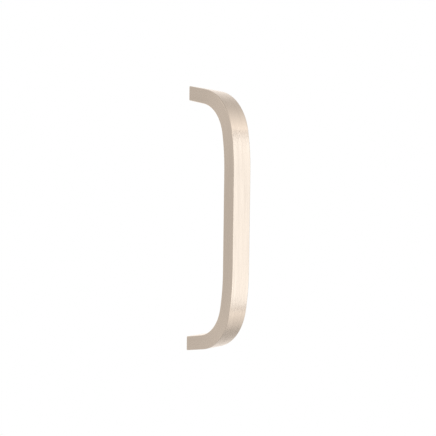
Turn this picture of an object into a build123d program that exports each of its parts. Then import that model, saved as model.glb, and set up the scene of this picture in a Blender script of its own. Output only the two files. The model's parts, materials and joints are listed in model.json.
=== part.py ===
from build123d import *
import os
from math import cos, radians, sin, tan

os.makedirs("parts", exist_ok=True)

# A bow handle for a cabinet door: one flat bar with a long straight grip, a gentle
# shoulder and a tighter bend at each end, and two legs that spread apart towards the door.
# The door's face is the plane y = 0, the grip stands off it in -Y and runs along Z, and the
# origin is on the door's face, midway between the two screw holes.

# Driving dimensions in millimetres and degrees
hole_spacing = 128.0  # centre to centre of the screw holes, a standard drilling
projection = 36.0  # from the door's face to the front of the grip
bar_thickness = 7.2  # front to back of the grip
bar_width = 11.0  # across the grip
shoulder_radius = 100.0  # of the bar's centre line where the grip starts to fall away
shoulder_turn = 11.0  # how far the shoulder turns, in degrees
bend_radius = 24.0  # of the bar's centre line in the bend
leg_splay = 13.5  # how far each leg leans outwards from square to the door, in degrees
edge_radius = 0.5  # rounding of the bar's long edges and of the edges round its ends
thread_major_radius = 2.0  # of the M4 screw
thread_pitch = 0.7  # of the M4 screw
hole_depth = 8.0  # from the end face to the end of the drilled hole's full width
drill_point_angle = 118.0  # of the cone that the drill leaves at the bottom
mouth_chamfer = 0.4  # width and depth of the chamfer that opens the mouth past the thread

# The drilled hole is the thread's outer size less one pitch across its diameter
drill_radius = thread_major_radius - thread_pitch / 2
drill_point_depth = drill_radius / tan(radians(drill_point_angle / 2))

# A leg leans inwards as it leaves the door, and the screw goes in square to the door. The
# hole is set in from the middle of the end face so that it runs in mid-metal over its depth.
hole_inset = hole_depth / 2 * tan(radians(leg_splay))
leg_foot = hole_spacing / 2 + hole_inset

# The bar's centre line, from the middle of the grip to the foot of the upper leg
grip_stand_off = projection - bar_thickness / 2
bend_turn = 90 - leg_splay - shoulder_turn
shoulder_drop = shoulder_radius * (1 - cos(radians(shoulder_turn)))
shoulder_run = shoulder_radius * sin(radians(shoulder_turn))
bend_drop = bend_radius * (cos(radians(shoulder_turn)) - sin(radians(leg_splay)))
bend_run = bend_radius * (cos(radians(leg_splay)) - sin(radians(shoulder_turn)))
leg_drop = grip_stand_off - shoulder_drop - bend_drop
leg_run = leg_drop * tan(radians(leg_splay))
leg_length = leg_drop / cos(radians(leg_splay))
straight_grip = leg_foot - shoulder_run - bend_run - leg_run

# The legs are drawn this far past the door's face and then trimmed flat on it
trim_length = bar_thickness

with BuildPart() as handle:
    # Side view of the bow: its centre line, thickened to both sides
    with BuildSketch(Plane.YZ) as side_view:
        with BuildLine() as centre_line:
            grip = Line((-grip_stand_off, 0), (-grip_stand_off, straight_grip))
            shoulder = JernArc(grip @ 1, grip % 1, shoulder_radius, -shoulder_turn)
            bend = JernArc(shoulder @ 1, shoulder % 1, bend_radius, -bend_turn)
            PolarLine(bend @ 1, leg_length + trim_length, leg_splay)
            mirror(about=Plane.XZ)
            offset(amount=bar_thickness / 2, side=Side.BOTH, mode=Mode.REPLACE)
        make_face()
    extrude(amount=bar_width / 2, both=True)
    split(bisect_by=Plane.XZ, keep=Keep.TOP)

    # The long edges lie in the bar's two side faces, the end edges on the door's face
    side_faces = handle.faces().filter_by(Axis.X)
    end_faces = handle.faces().filter_by(Plane.XZ).group_by(Axis.Y)[-1]
    fillet(side_faces.edges() + end_faces.edges(), edge_radius)

    # Blind tapped holes: half of the section of one hole, turned round its axis
    with BuildSketch(Plane.YZ) as hole_section:
        with Locations((0, hole_spacing / 2)):
            Polygon(
                (0, 0),
                (0, drill_radius + mouth_chamfer),
                (-mouth_chamfer, drill_radius),
                (-hole_depth, drill_radius),
                (-hole_depth - drill_point_depth, 0),
                align=None,
            )
    upper_hole_axis = Axis((0, 0, hole_spacing / 2), (0, 1, 0))
    upper_hole = revolve(axis=upper_hole_axis, mode=Mode.SUBTRACT)
    mirror(upper_hole, about=Plane.XY, mode=Mode.SUBTRACT)

handle.part.label = "handle"
export_step(handle.part, "parts/handle.step")
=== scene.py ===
import json
from collections import namedtuple

import bpy
import numpy as np
from mathutils import Matrix, Vector


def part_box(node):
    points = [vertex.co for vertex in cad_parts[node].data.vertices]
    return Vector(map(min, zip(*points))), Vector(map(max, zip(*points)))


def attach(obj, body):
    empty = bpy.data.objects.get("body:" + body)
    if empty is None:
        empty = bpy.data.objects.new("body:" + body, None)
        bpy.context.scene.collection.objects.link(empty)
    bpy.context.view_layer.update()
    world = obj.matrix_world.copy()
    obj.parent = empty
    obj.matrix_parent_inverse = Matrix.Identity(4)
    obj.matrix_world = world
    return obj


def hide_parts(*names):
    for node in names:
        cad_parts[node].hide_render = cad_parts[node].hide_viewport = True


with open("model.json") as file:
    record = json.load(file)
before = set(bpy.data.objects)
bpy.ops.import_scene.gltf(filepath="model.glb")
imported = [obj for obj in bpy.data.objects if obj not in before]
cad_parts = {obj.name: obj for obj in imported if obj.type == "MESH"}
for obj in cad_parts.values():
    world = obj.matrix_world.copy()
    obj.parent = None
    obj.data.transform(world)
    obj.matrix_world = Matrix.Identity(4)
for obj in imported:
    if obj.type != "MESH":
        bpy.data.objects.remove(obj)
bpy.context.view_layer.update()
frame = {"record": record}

# The bar
# The handle is one zinc casting: a flat bar bent into a bow, with a long straight grip, a gentle
# shoulder and a tighter bend at each end, and two legs that lean apart towards the door. The bar
# keeps one section throughout, ground flat on its four faces, with its long edges just broken.
mm = 0.001
low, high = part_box("handle")
mounts = {mount["name"]: mount for mount in frame["record"]["mounts"]}
screw_hole = mounts["upper_screw_hole"]
hole_height = screw_hole["pos_m"][2]
hole_depth = -2 * screw_hole["pos_m"][1]
bar_width = high.x - low.x
projection = high.y - low.y
bar_thickness = 7.2 * mm
shoulder_radius = 100.0 * mm
shoulder_turn = np.radians(11.0)
bend_radius = 24.0 * mm
leg_splay = np.radians(13.5)
long_edge_radius = 0.5 * mm
corner_steps = 8
side_steps = 10

leg_turn = np.pi / 2 - leg_splay
leg_foot = hole_height + hole_depth / 2 * np.tan(leg_splay)
grip_stand_off = projection - bar_thickness / 2
across = np.array([1.0, 0.0, 0.0])
to_door = np.array([0.0, 1.0, 0.0])
upwards = np.array([0.0, 0.0, 1.0])


def running_length(points):
    """Distance run from the first point to each point, in order along the first axis."""
    step = np.linalg.norm(np.diff(points, axis=0), axis=-1)
    return np.concatenate([np.zeros_like(step[:1]), np.cumsum(step, axis=0)])


def rounded_section(width, thickness, radius):
    """The bar's section, a rectangle with rounded corners, as a closed ring of points and normals.

    Each corner is a quarter circle about a centre set in by the radius from both sides, and each
    side is a straight run of equal steps from the end of one corner to the start of the next.
    """
    quarter = np.arange(4)[:, None] * np.pi / 2
    angle = quarter + np.linspace(0.0, np.pi / 2, corner_steps + 1)
    corner_normal = np.stack([np.cos(angle), np.sin(angle)], axis=-1)
    signs = np.array([[1, 1], [-1, 1], [-1, -1], [1, -1]])
    centre = signs * (np.array([width, thickness]) / 2 - radius)
    corner = centre[:, None] + radius * corner_normal
    start = corner[:, -1:]
    end = np.roll(corner[:, :1], -1, axis=0)
    share = np.arange(1, side_steps)[:, None] / side_steps
    side = start + share * (end - start)
    side_normal = np.broadcast_to(corner_normal[:, -1:], side.shape)
    ring = np.concatenate([corner, side], axis=1).reshape(-1, 2)
    ring_normal = np.concatenate([corner_normal, side_normal], axis=1).reshape(-1, 2)
    return np.concatenate([ring, ring[:1]]), np.concatenate([ring_normal, ring_normal[:1]])


def upper_half_line(grip_steps, shoulder_steps, bend_steps):
    """The bar's middle line from the middle of the grip to the end of the upper bend.

    It runs straight, then on an arc of the shoulder's radius, then on an arc of the bend's radius,
    each tangent to the one before. The straight grip is as long as the foot's place leaves it.
    Returns each station's distance from the door, height, turn and length run.
    """
    shoulder_end = grip_stand_off - shoulder_radius * (1 - np.cos(shoulder_turn))
    bend_end = shoulder_end - bend_radius * (np.cos(shoulder_turn) - np.cos(leg_turn))
    shoulder_run = shoulder_radius * np.sin(shoulder_turn)
    bend_run = bend_radius * (np.sin(leg_turn) - np.sin(shoulder_turn))
    straight = leg_foot - bend_end * np.tan(leg_splay) - bend_run - shoulder_run
    grip = np.linspace(0.0, straight, grip_steps + 1)
    shoulder = np.linspace(0.0, shoulder_turn, shoulder_steps + 1)[1:]
    bend = np.linspace(shoulder_turn, leg_turn, bend_steps + 1)[1:]
    stand_off = np.concatenate([
        np.full(grip.shape, grip_stand_off),
        grip_stand_off - shoulder_radius * (1 - np.cos(shoulder)),
        shoulder_end - bend_radius * (np.cos(shoulder_turn) - np.cos(bend)),
    ])
    height = np.concatenate([
        grip,
        straight + shoulder_radius * np.sin(shoulder),
        straight + shoulder_run + bend_radius * (np.sin(bend) - np.sin(shoulder_turn)),
    ])
    turn = np.concatenate([np.zeros_like(grip), shoulder, bend])
    run = np.concatenate([
        grip,
        straight + shoulder_radius * shoulder,
        straight + shoulder_radius * shoulder_turn + bend_radius * (bend - shoulder_turn),
    ])
    return stand_off, height, turn, run


def on_section(outward, in_section):
    """Vectors given across the bar and out from its middle line, set at each station."""
    return in_section[:, :1] * across + in_section[:, 1:] * outward[..., None, :]


section, section_normal = rounded_section(bar_width, bar_thickness, long_edge_radius)
girth = running_length(section)
stand_off, height, turn, run = upper_half_line(grip_steps=12, shoulder_steps=14, bend_steps=48)

# The whole line, from the upper bend's end down over the grip to the lower bend's end
stand_off = np.concatenate([stand_off[::-1], stand_off[1:]])
height = np.concatenate([height[::-1], -height[1:]])
turn = np.concatenate([turn[::-1], -turn[1:]])
run = np.concatenate([-run[::-1], run[1:]])
outward = np.sin(turn)[:, None] * upwards - np.cos(turn)[:, None] * to_door
middle = height[:, None] * upwards - stand_off[:, None] * to_door
bar_points = middle[:, None] + on_section(outward, section)
bar_normals = on_section(outward, section_normal)
bar_run = np.broadcast_to(run[:, None], bar_points.shape[:2])

# The legs and feet
# A leg is the straight end of the bar, cut off flush with the door's face at a slant to itself.
# The foot is ground flat to sit on the door, and its rim is rounded over like the long edges, by a
# shade less, so that each corner of the foot still has a round of its own.
end_edge_radius = 0.45 * mm
leg_steps = 8
leg_along = np.cos(leg_splay) * to_door + np.sin(leg_splay) * upwards
leg_normal = bar_normals[0]


def rounded_rim(steps):
    """The rounding between a leg's faces and its foot, as rings from the leg to the foot.

    A ball of the rim's radius rolls round the end, touching both: its centre is one radius inside
    the leg's face and one radius short of the foot. The rim is the part of the ball between the
    two points of touch, so its normal swings evenly from the leg's normal to the foot's.
    """
    inset = section - end_edge_radius * section_normal
    start = middle[0] + on_section(outward[0], inset)
    reach = (-end_edge_radius - start[:, 1:2]) / leg_along[1]
    centre = start + reach * leg_along
    swing = np.arccos(leg_normal @ to_door)[:, None]
    share = np.linspace(0.0, 1.0, steps + 1)[:, None, None]
    from_leg = np.sin((1 - share) * swing) * leg_normal
    from_foot = np.sin(share * swing) * to_door
    normal = (from_leg + from_foot) / np.sin(swing)
    return centre + end_edge_radius * normal, normal


rim_points, rim_normals = rounded_rim(steps=6)
leg_share = np.linspace(0.0, 1.0, leg_steps + 1)[:, None, None]
leg_points = bar_points[0] + leg_share * (rim_points[0] - bar_points[0])
leg_normals = np.broadcast_to(leg_normal, leg_points.shape)
leg_run = run[-1] + running_length(leg_points)
rim_run = leg_run[-1] + running_length(rim_points)

# The tapped holes
# A blind hole is drilled into each foot, square to the door. Its mouth is countersunk, and an M4
# thread is cut in it that runs out short of the cone left by the drill's point.
thread_radius = 2.0 * mm
thread_pitch = 0.7 * mm
thread_flank_angle = np.radians(30.0)
thread_root_share = 1 / 8
thread_length = 6.6 * mm
thread_run_out = 1.0 * mm
drill_radius = screw_hole["dims"]["r_mm"] * mm
drill_point_angle = np.radians(118.0)
half_point_angle = drill_point_angle / 2
mouth_radius = drill_radius + hole_depth - screw_hole["dims"]["length_mm"] * mm
wall_rows = 150
cone_steps = 5
foot_steps = 3


def wall_radius(depth, angle):
    """Radius of a tapped hole's wall at a depth and at an angle about the way out of the hole.

    The thread repeats with each pitch of depth and moves out by one pitch in each right-handed
    turn. One pitch is a flat root, two straight flanks and a crest that the drill left, and the
    groove runs out evenly at the thread's end. The mouth's countersink is a cone at 45 degrees,
    and the wall is whichever of the two lies further out.
    """
    groove_depth = thread_radius - drill_radius
    flank = groove_depth * np.tan(thread_flank_angle) / thread_pitch
    from_root = np.abs((-depth / thread_pitch - angle / (2 * np.pi)) % 1.0 - 0.5)
    groove = np.clip((thread_root_share / 2 + flank - from_root) / flank, 0.0, 1.0)
    run_out = np.clip((thread_length - depth) / thread_run_out, 0.0, 1.0)
    return np.maximum(drill_radius + groove_depth * groove * run_out, mouth_radius - depth)


def tapped_hole(centre_height, angle):
    """A hole's wall and the cone at its bottom, from the mouth inwards, with normals to the axis.

    A wall point stands at its radius from the axis, at its depth and angle. The normal leans by the
    radius's slopes with depth and angle, each taken over one step of the grid. The cone's radius
    falls evenly from the drill's to nothing at the drill's point.
    """
    out_from_axis = np.cos(angle)[:, None] * upwards + np.sin(angle)[:, None] * across
    round_axis = np.cos(angle)[:, None] * across - np.sin(angle)[:, None] * upwards
    depth = np.linspace(0.0, hole_depth, wall_rows)[:, None]
    radius = wall_radius(depth, angle)
    half_row = hole_depth / (wall_rows - 1) / 2
    half_column = np.pi / (len(angle) - 1)
    deeper, shallower = wall_radius(depth + half_row, angle), wall_radius(depth - half_row, angle)
    slope_in = (deeper - shallower) / (2 * half_row)
    ahead, behind = wall_radius(depth, angle + half_column), wall_radius(depth, angle - half_column)
    slope_round = (ahead - behind) / (2 * half_column) / radius
    axis_point = centre_height * upwards
    wall = axis_point - depth[..., None] * to_door + radius[..., None] * out_from_axis
    slopes = slope_round[..., None] * round_axis - out_from_axis - slope_in[..., None] * to_door
    wall_normal = slopes / np.linalg.norm(slopes, axis=-1, keepdims=True)
    share = np.linspace(0.0, 1.0, cone_steps + 1)[:, None, None]
    cone_depth = hole_depth + share * drill_radius / np.tan(half_point_angle)
    cone = axis_point - cone_depth * to_door + (1 - share) * drill_radius * out_from_axis
    cone_normal = np.sin(half_point_angle) * to_door - np.cos(half_point_angle) * out_from_axis
    return wall, wall_normal, cone, np.broadcast_to(cone_normal, cone.shape)


# The ring of points round a hole starts so that its corners face the corners of the bar
column_angle = np.linspace(0.0, 2 * np.pi, len(section))
column_angle = column_angle + np.pi / 4 - column_angle[corner_steps // 2]
upper_hole = tapped_hole(hole_height, np.pi / 2 - column_angle)
lower_hole = tapped_hole(-hole_height, np.pi / 2 + column_angle)

# A foot's face lies between its rim and the mouth of its hole
upper_wall = upper_hole[0]
foot_share = np.linspace(0.0, 1.0, foot_steps + 1)[:, None, None]
foot_points = rim_points[-1] + foot_share * (upper_wall[0] - rim_points[-1])
foot_normals = np.broadcast_to(to_door, foot_points.shape)

# The skin
# A casting has one unbroken skin, so the mesh is one too: rings of equally many points that go
# from the bottom of the upper hole out over its foot, along the bar and into the lower hole.
Stretch = namedtuple("Stretch", "points normals brush layout bore foot")
mirror = np.array([1.0, 1.0, -1.0])

# Places on the skin's flat layout, as shares of it, and scales, in shares per metre. The bar fills
# the left of the layout, and the feet and holes lie at its right, above and below the middle.
layout_edge = 0.01
layout_middle = 0.5
bar_share = 0.72
bar_scale = (bar_share / girth[-1], (layout_middle - layout_edge) / rim_run.max())
foot_column = 0.87
foot_from_middle = 0.33
foot_scale = (25.0, 25.0)
bore_column = 0.76
bore_from_middle = 0.10
bore_half_height = 0.09
bore_scale = (20.0, 17.0)


def stretch(points, normals, brush, layout_place, layout_scale, bore=0.0, foot=0.0):
    """One stretch of the skin, with its brush map in metres and its place on the flat layout."""
    layout = np.asarray(layout_place) + brush * np.asarray(layout_scale)
    masks = [np.full(points.shape[:2], share) for share in (bore, foot)]
    return Stretch(points, normals, brush, layout, *masks)


def brushed_stretch(points, normals, along):
    """A stretch of the bar: the brush map's first axis goes round the bar, its second along it."""
    brush = np.stack([np.broadcast_to(girth, along.shape), along], axis=-1)
    return stretch(points, normals, brush, (layout_edge, layout_middle), bar_scale)


def end_stretches(hole, side):
    """The stretches of one end, from the end of its bend to the bottom of its hole.

    The lower end is the upper end mirrored in height, apart from the thread, which keeps its hand.
    """
    wall, wall_normal, cone, cone_normal = hole
    turned = mirror if side < 0 else np.ones(3)
    foot_brush = (foot_points * turned - side * leg_foot * upwards)[..., [2, 0]]
    foot_place = (foot_column, layout_middle + side * foot_from_middle)
    bore_girth = np.linspace(0.0, 2 * np.pi * drill_radius, len(section))
    bore_round = np.broadcast_to(bore_girth, wall.shape[:2])
    wall_brush = np.stack([running_length(wall * to_door), bore_round], axis=-1)
    cone_brush = np.stack([hole_depth + running_length(cone), bore_round[:len(cone)]], axis=-1)
    bore_place = (bore_column, layout_middle + side * bore_from_middle - bore_half_height)
    return [
        brushed_stretch(leg_points * turned, leg_normals * turned, -side * leg_run),
        brushed_stretch(rim_points * turned, rim_normals * turned, -side * rim_run),
        stretch(foot_points * turned, foot_normals, foot_brush, foot_place, foot_scale, foot=1.0),
        stretch(wall, wall_normal, wall_brush, bore_place, bore_scale, bore=1.0),
        stretch(cone, cone_normal, cone_brush, bore_place, bore_scale, bore=1.0),
    ]


def corners_of(grid):
    """The values at the four corners of each cell of a grid, in the order that faces it outwards."""
    return np.stack([grid[:-1, :-1], grid[:-1, 1:], grid[1:, 1:], grid[1:, :-1]], axis=2)


def skin_mesh(name, stretches):
    """One closed mesh from stretches that share their end rings, with a point at either end.

    Each cell between two rings is a face, and a cell at an end point loses a corner and becomes a
    triangle. Each face corner has its own normal, map places and masks, so the skin stays sharp
    where two stretches meet at an angle.
    """
    rings = np.concatenate([part.points[min(row, 1):] for row, part in enumerate(stretches)])
    rows, columns = rings.shape[0], rings.shape[1] - 1
    index = 1 + (np.arange(rows)[:, None] - 1) * columns + np.arange(columns + 1) % columns
    index[0] = 0
    index[-1] = 1 + (rows - 2) * columns
    points = np.concatenate([rings[:1, 0], rings[1:-1, :-1].reshape(-1, 3), rings[-1:, 0]])
    face_corners = corners_of(index)
    keep = np.ones(face_corners.shape, bool)
    keep[0, :, 1] = False
    keep[-1, :, 2] = False
    face_sizes = keep.sum(axis=-1).ravel()

    def corner_values(field):
        """A field's values at the faces' corners, face by face."""
        values = np.concatenate([corners_of(getattr(part, field)) for part in stretches])
        return values[keep].astype(np.float32)

    mesh = bpy.data.meshes.new(name)
    mesh.vertices.add(len(points))
    mesh.vertices.foreach_set("co", points.astype(np.float32).ravel())
    mesh.loops.add(int(face_sizes.sum()))
    mesh.loops.foreach_set("vertex_index", face_corners[keep].astype(np.int32))
    mesh.polygons.add(len(face_sizes))
    mesh.polygons.foreach_set("loop_start", (np.cumsum(face_sizes) - face_sizes).astype(np.int32))
    mesh.update(calc_edges=True)
    for map_name, field in (("OFBake", "layout"), ("brush", "brush")):
        mesh.uv_layers.new(name=map_name).uv.foreach_set("vector", corner_values(field).ravel())
    for mask in ("bore", "foot"):
        mesh.attributes.new(mask, "FLOAT", "CORNER").data.foreach_set("value", corner_values(mask))
    mesh.polygons.foreach_set("use_smooth", np.ones(len(face_sizes), bool))
    mesh.normals_split_custom_set(corner_values("normals"))
    return mesh


# The upper end is taken in reverse, from the bottom of its hole to its bend
upper_end = end_stretches(upper_hole, 1)[::-1]
upper_end = [Stretch(*[field[::-1] for field in part]) for part in upper_end]
bar = [brushed_stretch(bar_points, bar_normals, bar_run)]
lower_end = end_stretches(lower_hole, -1)
handle = bpy.data.objects.new("bow_handle", skin_mesh("bow_handle", upper_end + bar + lower_end))
bpy.context.scene.collection.objects.link(handle)
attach(handle, "root")
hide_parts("handle")

# The finish
# The casting is plated with a warm nickel and brushed along the bar, which leaves fine straight
# scratches and a satin sheen that spreads across them. The feet are plated but not brushed, and
# the threads were cut after plating, so the holes are bare zinc.
nickel_dark = (0.682, 0.573, 0.475, 1.0)
nickel_light = (0.718, 0.605, 0.503, 1.0)
bare_zinc = (0.52, 0.53, 0.54, 1.0)
dark_mark_roughness = 0.31
light_mark_roughness = 0.24
foot_roughness = 0.42
bore_roughness = 0.30
sheen_across_brushing = 0.9
stroke_share = 0.7
band_share = 0.28
darkest_mark = 0.36
lightest_mark = 0.64
relief_stroke_share = 0.4
relief_height = 0.0010 * mm
satin = bpy.data.materials.new("satin_nickel")
satin.use_nodes = True
nodes = satin.node_tree.nodes
links = satin.node_tree.links
shader = nodes["Principled BSDF"]
shader.inputs["Metallic"].default_value = 1.0
shader.inputs["Anisotropic"].default_value = sheen_across_brushing
brush_map = nodes.new("ShaderNodeUVMap")
brush_map.uv_map = "brush"
tangent = nodes.new("ShaderNodeTangent")
tangent.direction_type = "UV_MAP"
tangent.uv_map = "brush"
links.new(tangent.outputs["Tangent"], shader.inputs["Tangent"])


def scratches(width, length, detail):
    """Noise drawn out along the brushing: scratches of about this width and length, from 0 to 1."""
    stretched = nodes.new("ShaderNodeMapping")
    stretched.inputs["Scale"].default_value = (1 / width, 1 / length, 1.0)
    noise = nodes.new("ShaderNodeTexNoise")
    noise.noise_dimensions = "2D"
    noise.inputs["Scale"].default_value = 1.0
    noise.inputs["Detail"].default_value = detail
    links.new(brush_map.outputs["UV"], stretched.inputs["Vector"])
    links.new(stretched.outputs["Vector"], noise.inputs["Vector"])
    return noise.outputs["Fac"]


def mixed(kind, factor, first, second):
    """A mix of two colours or numbers by a factor, each of them a socket or a plain value.

    The mix node numbers its sockets by kind: the factor, the two inputs and the result.
    """
    mix = nodes.new("ShaderNodeMix")
    mix.data_type = kind
    *inputs, result = {"FLOAT": (0, 2, 3, 0), "RGBA": (0, 6, 7, 2)}[kind]
    for number, value in zip(inputs, (factor, first, second)):
        if isinstance(value, bpy.types.NodeSocket):
            links.new(value, mix.inputs[number])
        else:
            mix.inputs[number].default_value = value
    return mix.outputs[result]


def spread(value, least, most):
    """A number drawn out so that the least becomes 0 and the most becomes 1."""
    wider = nodes.new("ShaderNodeMapRange")
    wider.inputs["From Min"].default_value = least
    wider.inputs["From Max"].default_value = most
    links.new(value, wider.inputs["Value"])
    return wider.outputs["Result"]


def mask(name):
    """The stretch mask of that name, 1 on its own stretches and 0 elsewhere."""
    attribute = nodes.new("ShaderNodeAttribute")
    attribute.attribute_name = name
    return attribute.outputs["Fac"]


hairlines = scratches(width=0.06 * mm, length=6.0 * mm, detail=1.0)
strokes = scratches(width=0.45 * mm, length=22.0 * mm, detail=2.0)
bands = scratches(width=1.7 * mm, length=80.0 * mm, detail=2.0)
fine_marks = mixed("FLOAT", stroke_share, hairlines, strokes)
marks = spread(mixed("FLOAT", band_share, fine_marks, bands), darkest_mark, lightest_mark)
nickel = mixed("RGBA", marks, nickel_dark, nickel_light)
links.new(mixed("RGBA", mask("bore"), nickel, bare_zinc), shader.inputs["Base Color"])
brushed_roughness = mixed("FLOAT", marks, dark_mark_roughness, light_mark_roughness)
plated_roughness = mixed("FLOAT", mask("foot"), brushed_roughness, foot_roughness)
roughness = mixed("FLOAT", mask("bore"), plated_roughness, bore_roughness)
links.new(roughness, shader.inputs["Roughness"])
relief = nodes.new("ShaderNodeBump")
relief.inputs["Strength"].default_value = 1.0
relief.inputs["Distance"].default_value = relief_height
links.new(mixed("FLOAT", relief_stroke_share, hairlines, strokes), relief.inputs["Height"])
links.new(relief.outputs["Normal"], shader.inputs["Normal"])
handle.data.materials.append(satin)

# The studio
# The handle hangs free in a white booth, as on its door: a pale round floor lies well below it
# and fades out at its rim, and a broad soft light with a dark rim stands in front, to the right.
floor_height = -250.0 * mm
floor_full_radius = 80.0 * mm
floor_radius = 220.0 * mm
floor_rings = 8
floor_spokes = 64
floor_grey = (0.74, 0.74, 0.74, 1.0)


def grid_mesh(name, grid):
    """A mesh with a point at each place of a grid and a face for each of its cells."""
    index = np.arange(grid[..., 0].size).reshape(grid.shape[:2])
    mesh = bpy.data.meshes.new(name)
    mesh.from_pydata(grid.reshape(-1, 3).tolist(), [], corners_of(index).reshape(-1, 4).tolist())
    return mesh


spoke = np.linspace(0.0, floor_radius, floor_rings + 1)[:, None]
bearing = np.linspace(0.0, 2 * np.pi, floor_spokes + 1)
floor_flat = spoke[..., None] * np.stack([np.cos(bearing), np.sin(bearing)], axis=-1)
floor_level = np.full(floor_flat[..., :1].shape, floor_height)
floor_mesh = grid_mesh("floor", np.concatenate([floor_flat, floor_level], axis=-1))
floor = bpy.data.objects.new("floor", floor_mesh)
bpy.context.scene.collection.objects.link(floor)

pale_floor = bpy.data.materials.new("pale_floor")
pale_floor.use_nodes = True
nodes = pale_floor.node_tree.nodes
links = pale_floor.node_tree.links
nodes.remove(nodes["Principled BSDF"])
place = nodes.new("ShaderNodeTexCoord")
flat = nodes.new("ShaderNodeVectorMath")
flat.operation = "MULTIPLY"
flat.inputs[1].default_value = (1.0, 1.0, 0.0)
distance = nodes.new("ShaderNodeVectorMath")
distance.operation = "LENGTH"
fade = nodes.new("ShaderNodeMapRange")
fade.interpolation_type = "SMOOTHSTEP"
fade.inputs["From Min"].default_value = floor_full_radius
fade.inputs["From Max"].default_value = floor_radius
paint = nodes.new("ShaderNodeBsdfDiffuse")
paint.inputs["Color"].default_value = floor_grey
clear = nodes.new("ShaderNodeBsdfTransparent")
edge = nodes.new("ShaderNodeMixShader")
links.new(place.outputs["Object"], flat.inputs[0])
links.new(flat.outputs["Vector"], distance.inputs[0])
links.new(distance.outputs["Value"], fade.inputs["Value"])
links.new(fade.outputs["Result"], edge.inputs["Fac"])
links.new(paint.outputs["BSDF"], edge.inputs[1])
links.new(clear.outputs["BSDF"], edge.inputs[2])
links.new(edge.outputs["Shader"], nodes["Material Output"].inputs["Surface"])
floor_mesh.materials.append(pale_floor)

# The camera stands to the left of the handle, a little above its middle
view_turn = np.radians(39.218)
view_fall = np.radians(2.420)
view_roll = np.radians(0.718)
view_distance = 308.6 * mm
lens_length = 50.78
aim = np.array([0.0, -projection / 2, 0.0])
aim_right = 0.080 * mm
aim_up = 1.317 * mm
view_ahead = np.array([
    np.sin(view_turn) * np.cos(view_fall),
    np.cos(view_turn) * np.cos(view_fall),
    -np.sin(view_fall),
])
level_right = np.array([np.cos(view_turn), -np.sin(view_turn), 0.0])
level_up = np.cross(level_right, view_ahead)
view_right = np.cos(view_roll) * level_right + np.sin(view_roll) * level_up
view_up = np.cos(view_roll) * level_up - np.sin(view_roll) * level_right
camera_pose = np.eye(4)
camera_pose[:3, :3] = np.stack([view_right, view_up, -view_ahead], axis=1)
camera_pose[:3, 3] = aim - view_distance * view_ahead + aim_right * view_right + aim_up * view_up
camera_data = bpy.data.cameras.new("camera")
camera_data.lens = lens_length
camera = bpy.data.objects.new("camera", camera_data)
camera.matrix_world = Matrix(camera_pose.tolist())
bpy.context.scene.collection.objects.link(camera)
bpy.context.scene.camera = camera

# The booth is white where the camera sees it. Its walls, as the metal sees them, are light grey,
# lit up in places and darkened by two screens. Each of these fades in between two cosines of the
# angle from its direction, and a screen's strength is negative.
wall_grey = 0.68
white = 1.0
light_bearing = 39.0
Glow = namedtuple("Glow", "direction start full power strength")


def heading(bearing, rise):
    """The level way out from the door, turned right by a bearing and tilted up, in degrees."""
    around, tilt = np.radians(bearing), np.radians(rise)
    level = np.sin(around) * across - np.cos(around) * to_door
    return np.cos(tilt) * level + np.sin(tilt) * upwards


# The wall behind the handle, and the wall round the soft light
backdrop = Glow(view_ahead, start=0.42, full=0.90, power=1.0, strength=0.70)
round_light = Glow(heading(light_bearing, 2.4), start=0.25, full=0.92, power=1.7, strength=0.725)

# Two lights far round on the left, for the side faces of the bends
high_left = Glow(heading(-115.0, 26.0), start=0.86, full=0.99, power=1.0, strength=0.33)
low_left = Glow(heading(-119.0, -31.0), start=0.86, full=0.99, power=1.0, strength=0.24)

# Three spots between the camera and the soft light, for the long edge nearest the camera
high_spot = Glow(heading(-12.0, 40.0), start=0.93, full=0.99, power=1.0, strength=0.40)
upper_spot = Glow(heading(8.0, 20.0), start=0.93, full=0.99, power=1.0, strength=0.62)
lower_spot = Glow(heading(8.0, -20.0), start=0.93, full=0.99, power=1.0, strength=0.62)

# A broad dark screen on the right, and a small one below it, for the lower bend's outer face
right_screen = Glow(heading(95.0, 0.0), start=0.76, full=0.97, power=1.0, strength=-0.5)
low_screen = Glow(heading(94.0, -52.0), start=0.965, full=0.995, power=1.0, strength=-0.2)
booth = bpy.data.worlds.new("booth")
bpy.context.scene.world = booth
booth.use_nodes = True
nodes = booth.node_tree.nodes
links = booth.node_tree.links
ray = nodes.new("ShaderNodeTexCoord")


def lit_up(brightness, glow):
    """A brightness with a glow added: nothing below its first cosine, its strength past the second.

    Between the two it grows as its power of the share of the way. A negative strength darkens.
    """
    cosine = nodes.new("ShaderNodeVectorMath")
    cosine.operation = "DOT_PRODUCT"
    cosine.inputs[1].default_value = glow.direction
    share = nodes.new("ShaderNodeMapRange")
    share.inputs["From Min"].default_value = glow.start
    share.inputs["From Max"].default_value = glow.full
    rise = nodes.new("ShaderNodeMath")
    rise.operation = "POWER"
    rise.inputs[1].default_value = glow.power
    total = nodes.new("ShaderNodeMath")
    total.operation = "MULTIPLY_ADD"
    total.inputs[1].default_value = glow.strength
    links.new(ray.outputs["Generated"], cosine.inputs[0])
    links.new(cosine.outputs["Value"], share.inputs["Value"])
    links.new(share.outputs["Result"], rise.inputs[0])
    links.new(rise.outputs["Value"], total.inputs[0])
    links.new(brightness, total.inputs[2])
    return total.outputs["Value"]


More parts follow.
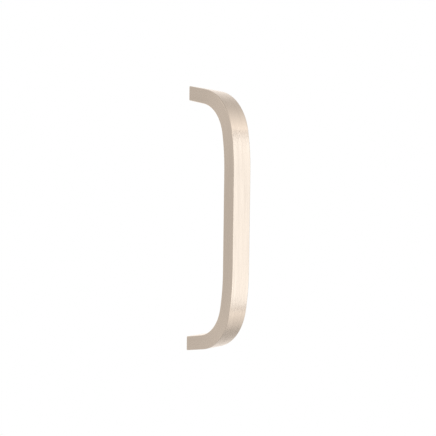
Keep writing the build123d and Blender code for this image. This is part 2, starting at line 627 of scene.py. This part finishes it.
plain_wall = nodes.new("ShaderNodeValue")
plain_wall.outputs["Value"].default_value = wall_grey
brightness = plain_wall.outputs["Value"]
glows = (
    backdrop, round_light, high_left, low_left, high_spot, upper_spot, lower_spot,
    right_screen, low_screen,
)
for glow in glows:
    brightness = lit_up(brightness, glow)
path = nodes.new("ShaderNodeLightPath")
brightness = mixed("FLOAT", path.outputs["Is Camera Ray"], brightness, white)
links.new(brightness, nodes["Background"].inputs["Strength"])
nodes["Background"].inputs["Color"].default_value = (white, white, white, 1.0)

# The soft light stands upright and faces the handle, its middle a little below the handle's
light_distance = 900.0 * mm
light_drop = 40.0 * mm
light_width = 1500.0 * mm
light_height = 814.0 * mm
light_radiance = 0.215
light_blue = (0.30, 0.65, 1.0)
light_direction = heading(light_bearing, 0.0)
lamp = bpy.data.lights.new("soft_light", "AREA")
lamp.shape = "RECTANGLE"
lamp.size = light_width
lamp.size_y = light_height
lamp.color = light_blue
lamp.energy = light_radiance * np.pi * light_width * light_height
soft_light = bpy.data.objects.new("soft_light", lamp)
soft_light.location = Vector(light_direction * light_distance - light_drop * upwards)
soft_light.rotation_euler = Vector(light_direction).to_track_quat("Z", "Y").to_euler()
soft_light.visible_camera = False
bpy.context.scene.collection.objects.link(soft_light)

# The soft light's rim is a flat frame of dark cloth round its four sides
rim_width = 18.0 * mm
cloth_black = (0.02, 0.02, 0.02, 1.0)
cloth_roughness = 0.9
corner_sign = np.array([[-1, -1], [1, -1], [1, 1], [-1, 1], [-1, -1]])
light_half = np.array([light_width, light_height]) / 2
rim_flat = corner_sign * np.stack([light_half, light_half + rim_width])[:, None]
light_right = np.cross(upwards, light_direction)
rim_sideways, rim_upwards = rim_flat[..., :1] * light_right, rim_flat[..., 1:] * upwards
rim_mesh = grid_mesh("light_rim", np.array(soft_light.location) + rim_sideways + rim_upwards)
light_rim = bpy.data.objects.new("light_rim", rim_mesh)
light_rim.visible_camera = False
bpy.context.scene.collection.objects.link(light_rim)
dark_cloth = bpy.data.materials.new("dark_cloth")
dark_cloth.use_nodes = True
shader = dark_cloth.node_tree.nodes["Principled BSDF"]
shader.inputs["Base Color"].default_value = cloth_black
shader.inputs["Roughness"].default_value = cloth_roughness
rim_mesh.materials.append(dark_cloth)

bpy.context.scene.view_settings.view_transform = "Standard"
